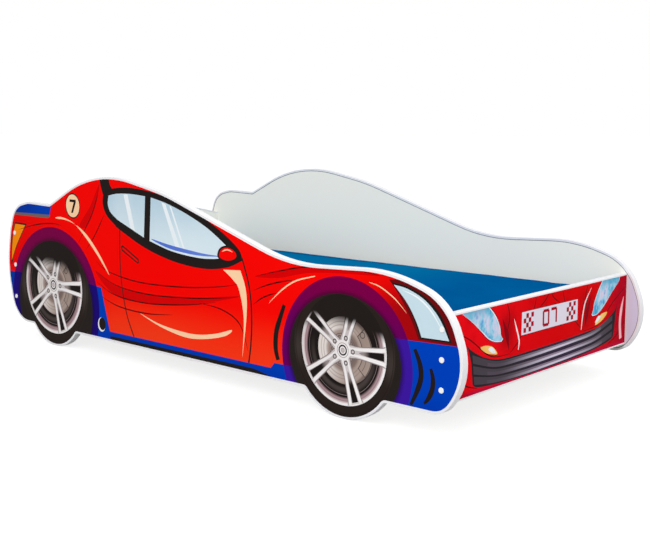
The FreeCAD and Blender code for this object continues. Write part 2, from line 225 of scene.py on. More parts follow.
def capPlastic():
    paint = Paint("capPlastic", Roughness=0.28, Specular_IOR_Level=0.5)
    paint.colour(paint.mix((240, 240, 240), (248, 248, 248), paint.noise(60.0)))
    paint.bump(paint.noise(600.0), 0.00003, 0.5)
    return paint.material


def zincSteel(name, dark, light):
    paint = Paint(name, Metallic=1.0)
    grain = paint.noise(220.0, 4.0)
    paint.colour(paint.mix(dark, light, grain))
    paint.roughness(0.28 + grain * 0.22)
    paint.bump(paint.noise(900.0), 0.00005, 0.6)
    return paint.material


def spruceWood(name, squeeze):
    # squeeze sets the stretch of the grain: small along the piece, large across it
    paint = Paint(name, Specular_IOR_Level=0.3)
    along = paint.scaled(squeeze)
    drift = paint.noise(2.2, 3.0, vector=along)
    rings = paint.waves("DIAGONAL", {"Scale": 2.4, "Distortion": 5.0, "Detail": 3.0,
                                     "Detail Scale": 1.2}, along)
    fibre = paint.noise(9.0, 4.0, 0.6, paint.scaled((4.0, 4.0, 4.0), along))
    grain = rings * 0.6 + fibre * 0.25 + drift * 0.2
    early = paint.mix((232, 206, 158), (222, 190, 138), drift)
    late = paint.between(grain, 0.45, 1.0) * 0.75
    paint.colour(paint.mix(early, (186, 138, 84), late))
    paint.roughness(0.62 - grain * 0.12)
    paint.bump(grain, 0.0003, 0.5)
    return paint.material


def polyesterWebbing():
    paint = Paint("polyesterWebbing", Roughness=0.85, Specular_IOR_Level=0.2, Sheen_Weight=0.25)
    weave = (paint.waves("X", {"Scale": 260.0, "Distortion": 0.4})
             * paint.waves("Y", {"Scale": 200.0, "Distortion": 0.4}))
    paint.colour(paint.mix((206, 206, 200), (240, 240, 236), weave))
    paint.bump(weave, 0.0003, 0.8)
    return paint.material


coverShade = {
    "width": 0.096,             # how far the painted shade strip reaches in from the left edge
    "front": (0.80, -0.15),     # it tapers to nothing between these places, in metres along the bed
    "rear": (-0.90, -0.35),
    "edge": (0.376, 0.420),
    "strength": 0.68,
}


def blueCotton():
    # plain woven cover of the mattress, about 20 threads to the centimetre
    paint = Paint("blueCotton", Specular_IOR_Level=0.0)
    thread = {"Scale": 320.0, "Distortion": 0.8, "Detail": 1.0}
    weave = paint.waves("X", thread) * 0.5 + paint.waves("Y", thread) * 0.5
    slub = paint.noise(90.0, 3.0, vector=paint.scaled((1.0, 6.0, 1.0)))
    cloud = paint.between(paint.noise(5.0, 3.0), 0.3, 0.7)
    deep = paint.mix((0, 78, 138), (0, 86, 149), cloud)
    # painted light: the cover is paler towards the rear and deeper blue towards the nose
    deep = paint.mix(deep, (2, 106, 157), paint.between(paint.x, 0.50, 0.15))
    # painted shade: the slack cover is a little darker where it sinks towards the left panel
    taper = (paint.between(paint.x, *coverShade["front"])
             * paint.between(paint.x, *coverShade["rear"]))
    place = paint.y + taper * coverShade["width"] + slub * 0.006
    shade = paint.between(place, *coverShade["edge"]) * coverShade["strength"]
    deep = paint.mix(deep, (0, 60, 108), shade)
    paint.colour(paint.mix(deep, (4, 110, 172), weave * 0.25 + slub * 0.12))
    paint.roughness(0.9 - slub * 0.12)
    paint.bump(weave * 0.6 + slub * 0.6, 0.00025, 0.7)
    return paint.material


def laminate(name):
    # the board's printed face under its satin varnish
    paint = Paint(name, Roughness=0.42, Specular_IOR_Level=0.01)
    paint.bump(paint.noise(700.0), 0.00003, 0.5)
    return paint


def flatPrint(name, colour, cloud=None, scale=6.0):
    # one ink, with slow clouds of a second tone, or of a slightly paler one
    paint = laminate(name)
    flat = tint(*colour)
    paler = tuple(min(1.0, channel * 1.06 + 0.004) for channel in flat[:3]) + (1.0,)
    paint.colour(paint.mix(flat, cloud or paler, paint.noise(scale, 3.0)))
    return paint.material


def bodyRed():
    # orange low on the door, deeper red towards both ends and under the bonnet
    paint = laminate("bodyRed")
    x, z = paint.x, paint.z
    door = paint.between(z, 0.225, 0.08) * paint.between(abs(x), 0.46, 0.3)
    tone = paint.mix((250, 4, 2), (250, 60, 26), door)
    cloud = paint.between(paint.noise(2.2), 0.35, 0.75)
    tone = paint.mix(tone, (255, 16, 6), cloud * 0.3)
    ends = paint.between(abs(x + 0.03), 0.55, 0.86)
    tone = paint.mix(tone, (230, 6, 6), ends * 0.8)
    nose = paint.between(x, 0.56, 0.70) * paint.between(z, 0.36, 0.26)
    paint.colour(paint.mix(tone, (128, 8, 16), nose * 0.75))
    return paint.material


def frontRed():
    paint = laminate("frontRed")
    y, z = paint.y, paint.z
    tone = paint.mix((240, 8, 22), (220, 0, 6), paint.between(y, -0.33, 0.05))
    tone = paint.mix(tone, (178, 0, 30), paint.between(y, 0.24, 0.40))
    tone = paint.mix(tone, (186, 10, 62), paint.between(z, 0.098, 0.086))
    hollow = paint.between(abs(abs(y) - 0.185), 0.05, 0.0) * paint.between(z, 0.13, 0.2)
    hollow = hollow * paint.between(z, 0.262, 0.22)
    tone = paint.mix(tone, (136, 2, 14), hollow * 0.6)
    cloud = paint.between(paint.noise(14.0, 3.0), 0.5, 0.8)
    paint.colour(paint.mix(tone, (180, 0, 10), cloud * 0.55))
    return paint.material


def bodyBlue():
    paint = laminate("bodyBlue")
    tone = paint.mix((0, 60, 180), (0, 67, 190), paint.noise(4.0))
    tone = paint.mix((0, 52, 160), tone, paint.between(paint.x, -0.78, -0.62))
    paint.colour(paint.mix((0, 54, 172), tone, paint.between(paint.z, 0.03, 0.12)))
    return paint.material


def glassPane():
    paint = laminate("glassPane")
    tone = paint.mix((214, 232, 241), (186, 212, 227), paint.between(paint.z, 0.34, 0.47))
    haze = paint.between(paint.noise(5.0), 0.4, 0.8) * 0.5
    paint.colour(paint.mix(tone, (226, 240, 246), haze))
    return paint.material


def frontLamp():
    # airbrushed lens of the front panel's headlights
    paint = laminate("frontLamp")
    smear = paint.noise(34.0, 4.0, 0.65, paint.scaled((1.0, 1.2, 0.8)))
    patchy = paint.between(paint.noise(60.0), 0.56, 0.7)
    tone = paint.mix((70, 170, 214), (160, 214, 238), paint.between(smear, 0.34, 0.52))
    tone = paint.mix(tone, (222, 214, 238), paint.between(smear, 0.5, 0.64))
    tone = paint.mix(tone, (84, 150, 226), patchy * 0.6)
    top = paint.between(paint.z, 0.243, 0.268)
    paint.colour(paint.mix(tone, (62, 168, 204), top * 0.7))
    return paint.material


def grilleBar(name, dim, bright):
    paint = laminate(name)
    paint.colour(paint.mix(dim, bright, paint.between(abs(paint.y - 0.05), 0.27, 0.0)))
    return paint.material


# middle and radius in millimetres; an arch and its ring also have a height to width ratio
wheelPlaces = {
    "rear": {"hub": (-612.2, 182.6), "rim": 146.0, "tyre": 177.0,
             "arch": (-607.5, 124.0, 190.6, 1.0), "ring": (-609.0, 130.0, 225.0, 1.0)},
    "front": {"hub": (533.1, 157.4), "rim": 126.4, "tyre": 150.5,
              "arch": (533.4, 137.1, 166.3, 0.886), "ring": (536.7, 133.0, 194.0, 0.985)},
}


def fromWheel(x, rearValue, frontValue):
    # a number that differs between the two wheels
    return rearValue * mm + (x > 0.0) * ((frontValue - rearValue) * mm)


def measure(paint, middles, widths, heights):
    # places as shares of the size of the wheel or arch that they lie in
    x, z = paint.x, paint.z
    rear, front = middles
    paint.across = (x - fromWheel(x, rear[0], front[0])) / fromWheel(x, *widths)
    paint.height = (z - fromWheel(x, rear[1], front[1])) / fromWheel(x, *heights)
    paint.reach = (paint.across * paint.across + paint.height * paint.height) ** 0.5


def archPrint(name, upper, lower, atRear=None):
    # clear purple band round an arch, darker beside the black
    paint = laminate(name)
    arches = [wheel["arch"] for wheel in wheelPlaces.values()]
    measure(paint, arches, [arch[2] for arch in arches], [arch[2] * arch[3] for arch in arches])
    tone = paint.mix(lower, upper, paint.between(paint.z, 0.18, 0.3))
    if atRear:
        tone = paint.mix(atRear, tone, paint.x > 0.0)
    paint.colour(paint.mix(tone, (34, 8, 30), paint.between(paint.reach, 1.09, 0.995) * 0.6))
    return paint.material


def wheelPaint(name):
    # a print whose places are measured from the hub of its own wheel, with the rim as unit
    paint = laminate(name)
    rims = [wheel["rim"] for wheel in wheelPlaces.values()]
    measure(paint, [wheel["hub"] for wheel in wheelPlaces.values()], rims, rims)
    # the wheel lies deeper in its arch towards the top, in shadow; the rear one more so
    paint.dusk = paint.height + paint.across * 0.03 + (paint.x < 0.0) * 0.09
    return paint


def shadedWheel(paint, tone, start=0.24, end=0.48):
    paint.colour(paint.mix(tone, (34, 28, 26), paint.between(paint.dusk, start, end)))
    return paint.material


def wheelMetal(name, dim, bright, low, high, start=0.24, end=0.48):
    paint = wheelPaint(name)
    sweep = paint.between(paint.across * 0.5 - paint.height * 0.5 + paint.reach * 0.5, low, high)
    tone = paint.mix(dim, bright, sweep * 0.75 + paint.noise(60.0, 3.0) * 0.3)
    return shadedWheel(paint, tone, start, end)


def rimStep():
    # the rounded step inside the rim's edge: lilac at the edge, dark at its foot
    paint = wheelPaint("rimStep")
    tone = paint.mix((216, 198, 200), (168, 140, 146), paint.between(paint.reach, 0.945, 0.912))
    tone = paint.mix(tone, (98, 76, 78), paint.between(paint.reach, 0.89, 0.85))
    return shadedWheel(paint, tone)


def slotShade():
    # between the two arms of a spoke: grey metal near the hub, the dark barrel beyond
    paint = wheelPaint("slotShade")
    tone = paint.mix((150, 140, 138), (30, 25, 24), paint.between(paint.reach, 0.46, 0.64))
    return shadedWheel(paint, tone, 0.42, 0.60)


def tyreRubber():
    paint = wheelPaint("tyreRubber")
    sheen = (paint.between(abs(paint.height + 0.1), 0.5, 0.0)
             * paint.between(abs(paint.across), 0.9, 1.08))
    sheen = sheen * paint.between(paint.reach, 1.24, 1.12)
    groove = paint.between(abs(paint.reach - 1.15), 0.012, 0.0)
    tone = paint.mix((42, 34, 31), (78, 70, 66), sheen * 0.45)
    paint.colour(paint.mix(tone, (24, 19, 18), groove * 0.6))
    return paint.material


def wheelDisc():
    # turned brake disc: a pale outer ring, a darker hat, fine rings and light from one side
    paint = wheelPaint("wheelDisc")
    turned = paint.node("ShaderNodeTexNoise", {"noise_dimensions": "1D"},
                        {"W": paint.reach, "Scale": 30.0, "Detail": 3.0})
    side = paint.between(paint.across - paint.height * 0.3, -0.35, 0.3)
    ring = paint.mix((226, 217, 212), (172, 154, 145), side)
    hat = paint.mix((168, 150, 142), (128, 110, 102), side)
    tone = paint.mix(hat, ring, paint.between(paint.reach, 0.34, 0.42))
    tone = paint.mix(tone, (120, 102, 95), paint.between(turned, 0.5, 0.75) * 0.45)
    tone = paint.mix(tone, (96, 80, 75), paint.between(paint.reach, 0.57, 0.63) * 0.7)
    return shadedWheel(paint, tone, 0.34, 0.66)


def barrelDark():
    paint = wheelPaint("barrelDark")
    band = paint.between(paint.reach, 0.64, 0.7) * paint.between(paint.reach, 0.8, 0.72)
    lit = band * paint.between(paint.height, 0.3, -0.5)
    return shadedWheel(paint, paint.mix((30, 25, 24), (70, 62, 60), lit))


print("materials of the board, the wood and the metal")
finishes = {
    "melamine": melamineWhite(),
    "edging": edgingVinyl(),
    "cap": capPlastic(),
    "zinc": zincSteel("zincSteel", (176, 176, 172), (214, 214, 210)),
    "yellowZinc": zincSteel("yellowZinc", (186, 158, 92), (222, 200, 138)),
    "staple": zincSteel("stapleSteel", (168, 168, 168), (206, 206, 206)),
    "woodAlongX": spruceWood("spruceAlongX", (1.0, 14.0, 14.0)),
    "woodAlongY": spruceWood("spruceAlongY", (14.0, 1.0, 14.0)),
    "webbing": polyesterWebbing(),
    "cotton": blueCotton(),
}

# ink, and its second tone and the size of its clouds where they differ from the usual
inks = {
    "black": ((30, 24, 23),),
    "line": ((44, 4, 6),),
    "deepRed": ((210, 2, 6), (222, 4, 6)),
    "archBlack": ((36, 30, 28),),
    "peach": ((255, 208, 160), (255, 216, 176)),
    "gleam": ((232, 242, 248), (244, 249, 252)),
    "glassBlue": ((60, 96, 206), (120, 150, 226)),
    "orange": ((252, 134, 4), (255, 152, 18)),
    "darkRed": ((98, 10, 14), (122, 14, 18)),
    "lampPale": ((192, 217, 228), (208, 229, 238)),
    "grey": ((110, 96, 96),),
    "white": ((238, 238, 240), (244, 244, 246)),
    "digit": ((160, 4, 32),),
    "amber": ((250, 176, 62), (255, 224, 140), 40.0),
    "lensEdge": ((112, 2, 34), (126, 4, 40)),
    "blush": ((255, 176, 184), (255, 206, 210), 20.0),
    "deepShade": ((128, 0, 14), (146, 0, 18)),
    # painted shadow of the edging's lip on the inner faces
    "contour": ((122, 122, 126),),
    "plate": ((226, 220, 234), (234, 228, 240)),
}
# dim and bright metal, the sweep of light between them, and where the arch's shadow starts and ends
wheelMetals = {
    "rimEdge": ((206, 200, 200), (246, 243, 243), -0.3, 0.9),
    "rimLine": ((96, 84, 84), (134, 120, 120), 0.0, 1.0),
    "caliper": ((128, 112, 104), (168, 150, 140), -0.2, 0.8, 0.34, 0.6),
    "bolt": ((70, 61, 59), (98, 88, 86), 0.0, 1.0, 0.42, 0.68),
    "spokeEdge": ((104, 94, 94), (140, 128, 128), -0.4, 0.9, 0.38, 0.56),
    "alloyDim": ((186, 178, 178), (220, 213, 213), -0.4, 0.9, 0.42, 0.60),
    "alloy": ((230, 225, 225), (248, 245, 245), -0.4, 0.9, 0.44, 0.62),
}
printFinishes = {
    "red": bodyRed(),
    "frontRed": frontRed(),
    "blue": bodyBlue(),
    "archOnRed": archPrint("archOnRed", (120, 0, 69), (100, 0, 92)),
    "archOnBlue": archPrint("archOnBlue", (62, 26, 160), (60, 24, 158), (26, 8, 118)),
    "tyre": tyreRubber(),
    "rimStep": rimStep(),
    "barrel": barrelDark(),
    "slot": slotShade(),
    "disc": wheelDisc(),
    "glass": glassPane(),
    "frontLamp": frontLamp(),
    "grilleDark": grilleBar("grilleDark", (42, 38, 44), (54, 44, 64)),
    "grilleMid": grilleBar("grilleMid", (74, 67, 76), (150, 132, 152)),
    "grilleLight": grilleBar("grilleLight", (84, 75, 86), (214, 208, 226)),
}
printFinishes.update((name, flatPrint(name + "Ink", *row)) for name, row in inks.items())
printFinishes.update((name, wheelMetal(name + "Metal", *row)) for name, row in wheelMetals.items())


def dress(names, finish):
    for name in names:
        slots = nodes[name].data.materials
        slots.clear()
        slots.append(finishes[finish])


def named(*parts):
    return [name for name in nodes if any(part in name for part in parts)]


dress(["right_side_panel", "left_side_panel", "front_panel", "rear_panel"], "melamine")
dress(named("edging"), "edging")
dress(named("screw_caps"), "cap")
dress(named("corner_screws"), "zinc")
dress(named("rail_screws", "end_slat_screws"), "yellowZinc")
dress(["tape_staples"], "staple")
dress(["right_side_rail", "left_side_rail"], "woodAlongX")
dress(["rear_end_rail", "front_end_rail"] + named("slat_0", "slat_1"), "woodAlongY")
dress(["right_slat_tape", "left_slat_tape"], "webbing")


# shapes of the print are lists of points in millimetres on the panel
def smooth(points, closed=False, steps=6):
    # a curve through the points
    count = len(points)
    spans = count if closed else count - 1
    curve = []
    for i in range(spans):
        if closed:
            a, b, c, d = (points[(i + k) % count] for k in (-1, 0, 1, 2))
        else:
            a, b, c, d = (points[min(max(i + k, 0), count - 1)] for k in (-1, 0, 1, 2))
        for step in range(steps):
            t = step / steps
            curve.append(tuple(
                0.5 * (2 * b[k] + (c[k] - a[k]) * t + (2 * a[k] - 5 * b[k] + 4 * c[k] - d[k]) * t ** 2
                       + (3 * b[k] - a[k] - 3 * c[k] + d[k]) * t ** 3) for k in (0, 1)))
    if not closed:
        curve.append(tuple(points[-1]))
    return curve


def circle(x, z, radius, count=72, squash=1.0):
    return [(x + radius * math.cos(2 * math.pi * i / count),
             z + squash * radius * math.sin(2 * math.pi * i / count)) for i in range(count)]


def stroke(points, width, ends=(0.2, 0.2), steps=6):
    # brush stroke along a curve; ends are the shares of the width left at its two ends
    line = smooth(points, steps=steps)
    left, right = [], []
    last = len(line) - 1
    for i, (x, z) in enumerate(line):
        x0, z0 = line[max(i - 1, 0)]
        x1, z1 = line[min(i + 1, last)]
        long = math.hypot(x1 - x0, z1 - z0)
        t = i / last
        share = min(1.0, ends[0] + (1 - ends[0]) * t * 3, ends[1] + (1 - ends[1]) * (1 - t) * 3)
        half = width / 2 * share
        nx = -(z1 - z0) / long * half
        nz = (x1 - x0) / long * half
        left.append((x + nx, z + nz))
        right.append((x - nx, z - nz))
    return left + right[::-1]


def band(x, z, inner, outer, start, end, count=18):
    # part of a ring between two angles in degrees
    angles = [math.radians(start + (end - start) * i / count) for i in range(count + 1)]
    far = [(x + outer * math.cos(a), z + outer * math.sin(a)) for a in angles]
    near = [(x + inner * math.cos(a), z + inner * math.sin(a)) for a in angles]
    return far + near[::-1]


# the drawn rim and spokes; all lengths are shares of the rim's radius
rings = [
    ("rimEdge", 1.0), ("rimStep", 0.952), ("rimLine", 0.915), ("rimStep", 0.908), ("barrel", 0.848),
    ("rimLine", 0.812), ("barrel", 0.802),
]
brake = {
    "shift": 0.05,          # how far the disc shows beside the hub
    "disc": (0.64, 0.955),
    "caliper": [("bolt", 0.405, 0.625, -42, 46), ("caliper", 0.42, 0.61, -40, 44),
                ("bolt", 0.500, 0.510, -38, 14)],
    "joint": (0.455, 0.33),     # a round boss above the caliper, and its rings
    "jointRings": [("bolt", 0.060, 24), ("caliper", 0.044, 24)],
}
spoke = {
    "count": 5,
    "first": 0.5,           # degrees above the horizontal
    "side": [(0.08, 0.105), (0.20, 0.112), (0.30, 0.100), (0.45, 0.104), (0.62, 0.122),
             (0.80, 0.140), (0.92, 0.156), (0.975, 0.180)],
    "slot": [(0.37, 0.0), (0.43, 0.020), (0.60, 0.042), (0.80, 0.058), (0.945, 0.068),
             (0.945, -0.068), (0.80, -0.058), (0.60, -0.042), (0.43, -0.020)],
    "arm": [(0.16, 0.058), (0.34, 0.058), (0.60, 0.083), (0.80, 0.100), (0.968, 0.126)],
    "armWidth": 0.060,
    "edge": 0.013,          # shaded edge round each spoke
    "slotEdge": 1.12,
    "back": [("rimLine", 0.31, 48), ("disc", 0.295, 48)],
    "hub": ("alloy", 0.185, 48),
    "boltReach": 0.235,
    "bolt": (0.046, 0.026),
}
hubRings = [
    ("caliper", 0.136, 40), ("alloy", 0.126, 40), ("barrel", 0.098, 36), ("alloy", 0.070, 36),
    ("caliper", 0.044, 32), ("alloyDim", 0.035, 32),
]


def wheelPatches(wheel):
    x, z = wheel["hub"]
    rim = wheel["rim"]
    brakeX = x + brake["shift"] * rim
    patches = [("tyre", circle(x, z, wheel["tyre"], 96))]

    def disc(finish, share, count=96, across=0.0, height=0.0):
        patches.append((finish, circle(x + across * rim, z + height * rim, share * rim, count)))

    def turned(shape, angle):
        c, s = math.cos(angle), math.sin(angle)
        return [(x + rim * (u * c - v * s), z + rim * (u * s + v * c)) for u, v in shape]

    def spokeShape(extra):
        upper = [(u, v + extra) for u, v in spoke["side"]]
        return upper + [(u, -v) for u, v in upper[::-1]]

    def angles(offset=0):
        return [math.radians(spoke["first"] + offset + number * 360 / spoke["count"])
                for number in range(spoke["count"])]

    def bolts(offset, outer, inner):
        outerSize, innerSize = spoke["bolt"]
        for angle in angles(offset):
            px = x + spoke["boltReach"] * rim * math.cos(angle)
            pz = z + spoke["boltReach"] * rim * math.sin(angle)
            patches.append((outer, circle(px, pz, outerSize * rim, 18)))
            patches.append((inner, circle(px, pz, innerSize * rim, 16)))

    for ring in rings:
        disc(*ring)
    share, squash = brake["disc"]
    patches.append(("disc", circle(brakeX, z, share * rim, 72, squash)))
    for finish, inner, outer, start, end in brake["caliper"]:
        patches.append((finish, band(brakeX, z, inner * rim, outer * rim, start, end)))
    for joint in brake["jointRings"]:
        disc(*joint, *brake["joint"])
    for back in spoke["back"]:
        disc(*back)
    bolts(180 / spoke["count"], "rimLine", "caliper")
    for angle in angles():
        patches.append(("spokeEdge", turned(spokeShape(spoke["edge"]), angle)))
    slotEdge = [(u, v * spoke["slotEdge"]) for u, v in spoke["slot"]]
    for angle in angles():
        patches.append(("alloyDim", turned(spokeShape(0.0), angle)))
        patches.append(("spokeEdge", turned(slotEdge, angle)))
        patches.append(("slot", turned(spoke["slot"], angle)))
        for side in (-1, 1):
            arm = [(u, v * side) for u, v in spoke["arm"]]
            patches.append(("alloy", turned(stroke(arm, spoke["armWidth"], (0.9, 1.2), 4), angle)))
    disc(*spoke["hub"])
    bolts(0, "bolt", "alloyDim")
    for cap in hubRings:
        disc(*cap)
    return patches


numberDisc = {
    "at": (-503, 424),
    "radius": 33,
    "rim": 1.12,
    "seven": [(-0.45, 0.55), (0.48, 0.55), (0.48, 0.32), (0.02, -0.62), (-0.26, -0.62),
              (0.16, 0.32), (-0.45, 0.32)],
}


def roundel(reading):
    # pale disc with a plain number; reading is 1 where +X lies to the right, and -1 to the left
    x, z = numberDisc["at"]
    radius = numberDisc["radius"]
    seven = [(x + reading * u * radius, z + v * radius) for u, v in numberDisc["seven"]]
    return [("black", circle(x, z, radius * numberDisc["rim"], 48)),
            ("peach", circle(x, z, radius, 48)), ("black", seven)]


# colour fields of the side print
sideFields = [
    ("blue", [(-900, 201), (-760, 204), (-600, 204), (-440, 205), (-373, 201), (-356, 144),
              (-336, 80), (304, 80), (316, 94), (400, 95), (500, 206), (690, 206), (842, 211),
              (900, 212), (900, -20), (-900, -20)]),
    ("black", [(-335, 66), (-322, 67.5), (244, 68.5), (300, 60), (300, 40), (-335, 40)]),
    ("blue", [(-802, 387), (-622, 391), (-612, 420), (-660, 440), (-820, 440), (-830, 387)]),
    ("grey", [(-830, 380), (-798, 380.5), (-634, 380.5), (-622, 385), (-620, 391), (-830, 388)]),
    ("black", [(-815, 357), (-748, 356)]
     + smooth([(-748, 356), (-776, 322), (-803, 288), (-824, 255), (-838, 224)])
     + smooth([(-842, 224), (-839, 270), (-830, 316), (-815, 357)])),
    ("orange", [(-812, 352), (-757, 351)]
     + smooth([(-757, 351), (-782, 320), (-808, 287), (-826, 258), (-837, 238)])
     + smooth([(-839, 238), (-835, 275), (-826, 318), (-812, 352)])),
]

# deeper red flashes and dark pinstripes, swept back along the body
flashes = [
    [(-400, 246), (-300, 214), (-160, 205), (0, 214), (196, 240), (0, 196), (-170, 180),
     (-310, 186)],
    [(252, 296), (330, 316), (430, 336), (560, 342), (640, 336), (540, 331), (430, 322),
     (330, 300)],
    [(-470, 372), (-420, 424), (-388, 470), (-372, 492), (-384, 454), (-410, 404), (-440, 366)],
]
pinstripes = {
    "width": 3.2,
    "ends": (0.12, 0.12),
    "lines": [
        [(-398, 276), (-340, 250), (-200, 234), (-20, 240), (120, 256), (200, 272)],
        [(-400, 246), (-300, 214), (-160, 205), (0, 214), (110, 226), (196, 240)],
        [(-392, 214), (-310, 187), (-170, 180), (0, 196), (110, 216)],
        [(-376, 176), (-290, 156), (-170, 152), (-60, 162)],
        [(226, 108), (196, 172), (130, 200), (40, 206)],
        [(252, 296), (330, 316), (430, 336), (560, 342), (640, 336)],
        [(248, 262), (290, 278), (340, 292), (380, 300)],
        [(244, 226), (272, 244), (300, 256), (326, 264)],
        [(-795, 335), (-720, 352), (-660, 362), (-600, 366), (-560, 362)],
        [(-480, 318), (-440, 366), (-410, 404), (-384, 454), (-372, 492)],
        [(-440, 304), (-404, 340), (-372, 380), (-352, 408)],
    ],
}

# rows of finish, points, width and the shares of the width left at the two ends
doorStrokes = [
    ("black", [(-281, 378), (-283, 282), (-275, 206), (-256, 136), (-227, 80)], 3.8, (1, 1)),
    ("black", [(206, 336), (231, 268), (239, 198), (236, 130), (228, 80)], 4.6, (1, 1)),
]
highlightStrokes = [
    ("peach", [(298, 236), (345, 275), (390, 300), (448, 316)], 3.4, (0.1, 0.6)),
    ("peach", [(609, 319), (640, 312), (680, 291), (712, 264)], 2.8, (0.3, 0.1)),
]
ventStrokes = [
    ("black", [(350, 238), (334, 200), (323, 168), (321, 130), (329, 103)], 15, (0.7, 0.8)),
    ("black", [(735, 190), (749, 160), (752, 130), (741, 98), (726, 68)], 13, (0.7, 0.5)),
    ("black", [(777, 155), (783, 135), (782, 112), (772, 90), (761, 77)], 12, (0.6, 0.4)),
]
handle = {
    "black": [(-277, 325), (-270, 329), (-201, 297), (-199, 287), (-205, 284), (-275, 314)],
    "red": [(-272, 322), (-269, 324), (-205, 294), (-203, 289), (-206, 288), (-271, 317)],
}
highlights = [
    smooth([(-592, 383), (-560, 388), (-500, 374), (-442, 336), (-385, 288), (-334, 240),
            (-380, 296), (-445, 350), (-520, 378)], True),
    smooth([(-197, 149), (-111, 130), (14, 122), (102, 134), (167, 153), (142, 134), (61, 115),
            (-17, 110), (-117, 125)], True),
    [(138, 301), (200, 305)] + smooth([(200, 305), (219, 258), (221, 196), (205, 89)])
    + smooth([(205, 89), (211, 187), (195, 256), (175, 278), (138, 301)]),
]
fuelCap = [("white", (-375, 94.5, 17.5, 40, 1.15)), ("black", (-371.5, 97, 15.5, 40, 1.15))]
headlamp = [
    ("darkRed", [(664, 331), (715, 334), (765, 322), (812, 292), (850, 250), (850, 212), (744, 212)]
     + smooth([(744, 212), (725, 250), (694, 297), (664, 331)])),
    ("black", smooth([(670, 326), (715, 321), (764, 302), (803, 268), (830, 216)])
     + smooth([(748, 214), (734, 248), (710, 288), (670, 326)])),
    ("lampPale", smooth([(677, 321), (714, 316), (760, 297), (797, 264), (823, 219.5)])
     + smooth([(752, 217.5), (739, 247), (714, 285), (677, 321)])),
    ("gleam", stroke([(700, 312), (742, 300), (776, 276), (800, 246)], 4.0, (0.1, 0.3))),
]


def strokes(rows):
    return [(finish, stroke(points, width, ends)) for finish, points, width, ends in rows]


def sidePatches(reading):
    patches = list(sideFields)
    patches += [("deepRed", smooth(shape, True)) for shape in flashes]
    patches += [("line", stroke(points, pinstripes["width"], pinstripes["ends"]))
                for points in pinstripes["lines"]]
    patches += strokes(doorStrokes)
    patches += handle.items()
    patches += [("peach", shape) for shape in highlights]
    patches += strokes(highlightStrokes)
    # arches and wheels
    for wheel in wheelPlaces.values():
        x, z, radius, squash = wheel["ring"]
        patches.append(("arch", circle(x, z, radius, 120, squash)))
        x, z, radius, squash = wheel["arch"]
        opening = circle(x, z, radius, 108, squash)
        patches.append(("archBlack", opening))
        patches += [(finish, shape, opening) for finish, shape in wheelPatches(wheel)]
    patches += sideWindow()
    patches += roundel(reading)
    patches += [(finish, circle(*sizes)) for finish, sizes in fuelCap]
    patches += strokes(ventStrokes)
    return patches + headlamp


def sideWindow():
    # divided side window of a coupe in a black frame, with the pillar up to the roof
    patches = [
        ("black", [(-372, 520), (-330, 520)] + smooth([(-330, 520), (-322, 492), (-300, 470)])
         + [(-330, 440)] + smooth([(-350, 452), (-366, 488), (-372, 520)])),
        ("black", smooth([(-352, 470), (-358, 440), (-342, 408), (-300, 380)])
         + smooth([(-300, 378), (-180, 332), (-60, 305), (60, 296), (150, 307), (208, 330)])
         + smooth([(208, 332), (190, 360), (110, 406), (0, 449), (-100, 474), (-210, 487),
                   (-300, 484), (-352, 470)])),
        ("glass", smooth([(-330, 462), (-334, 438), (-322, 416), (-290, 397)])
         + [(-176, 357), (-168, 468)] + smooth([(-168, 468), (-230, 471), (-290, 469), (-330, 462)])),
        ("glass", [(-152, 350)] + smooth([(-152, 350), (-60, 330), (50, 322), (130, 328), (176, 340)])
         + smooth([(176, 340), (150, 361), (80, 400), (0, 431), (-80, 454), (-144, 466)])),
        ("gleam", [(-100, 456), (-84, 452), (-20, 328), (-40, 331)]),
        ("gleam", [(-68, 449), (-60, 446), (0, 325), (-8, 326)]),
        ("gleam", [(-262, 468), (-244, 469), (-214, 372), (-234, 379)]),
        ("glassBlue", smooth([(-146, 356), (-70, 336), (40, 328), (130, 333), (60, 335),
                              (-60, 345)], True)),
    ]
    # door mirror
    patches.append(("black", smooth([(118, 330), (124, 352), (150, 362), (180, 356), (192, 340),
                                     (180, 326), (150, 320)], True)))
    patches.append(("red", smooth([(124, 332), (130, 349), (151, 357), (176, 352), (186, 340),
                                   (176, 330), (150, 325)], True)))
    patches.append(("peach", stroke([(134, 346), (152, 352), (172, 348)], 3.0, (0.2, 0.2))))
    return patches


plate = {
    "frame": [(-126, 240), (138, 238), (139, 182), (-127, 183)],
    "face": [(-124, 238), (136, 236), (137, 184), (-125, 185)],
    "number": "07",
    "numberAt": (-28, 194),
    "digitSize": (24, 34),
    "digitStroke": 7.0,
    "digitStep": 1.5,       # in widths
    "chequersAt": ((-116.0, 189.0), (82.0, 189.0)),
    "chequers": 4,
    "square": 11,
}
digits = {
    "0": [(0, 0, 1, 0), (1, 0, 1, 2), (1, 2, 0, 2), (0, 2, 0, 0)],
    "7": [(0, 2, 1, 2), (1, 2, 1, 0)],
}


def platePatches():
    patches = [("deepShade", plate["frame"]), ("plate", plate["face"])]
    side = plate["square"]
    for column in range(plate["chequers"]):
        for row in range(plate["chequers"]):
            if (column + row) % 2:
                continue
            for left, bottom in plate["chequersAt"]:
                y0, z0 = left + column * side, bottom + row * side
                patches.append(("digit", [(y0, z0), (y0 + side, z0), (y0 + side, z0 + side),
                                          (y0, z0 + side)]))
    # plain straight-stroked digits
    left, bottom = plate["numberAt"]
    width, height = plate["digitSize"]
    for place, letter in enumerate(plate["number"]):
        start = left + place * width * plate["digitStep"]
        for u0, v0, u1, v1 in digits[letter]:
            a = (start + u0 * width, bottom + v0 * height / 2)
            b = (start + u1 * width, bottom + v1 * height / 2)
            patches.append(("digit", stroke([a, b], plate["digitStroke"], (1, 1), 1)))
    return patches


